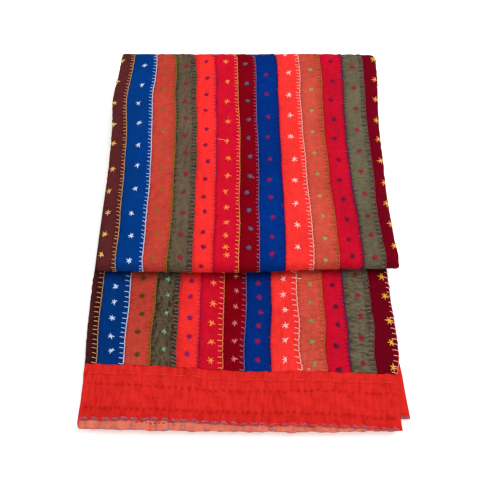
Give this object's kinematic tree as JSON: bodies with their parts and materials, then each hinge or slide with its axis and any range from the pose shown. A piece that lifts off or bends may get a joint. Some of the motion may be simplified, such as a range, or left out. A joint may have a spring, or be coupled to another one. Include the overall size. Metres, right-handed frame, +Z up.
{
  "type": "folded kantha quilt",
  "caption": "Patchwork kantha quilt folded in quarters lengthwise and turned over on itself, striped strips with embroidered stars and a plain red end border.",
  "frame": {"origin": "on the floor, under the middle of the folded quilt's bounding box", "axes": "+Z up, -Y towards the near hem and the viewer, +X to the viewer's right, along the hem"},
  "size_m": [0.595, 0.8378, 0.0845],
  "materials": {
    "pieced_cotton": "pieced strips of soft washed cotton, each blanket stitched along its seam, with stars and dots in coloured thread",
    "border_cotton": "plain red washed cotton with rows of running stitch, slightly puckered",
    "backing_cotton": "plain coral washed cotton"
  },
  "bodies": {
    "root": {"pieced_field": "pieced_cotton", "near_border": "border_cotton", "far_border": "border_cotton", "backing": "backing_cotton"}
  },
  "joints": []
}
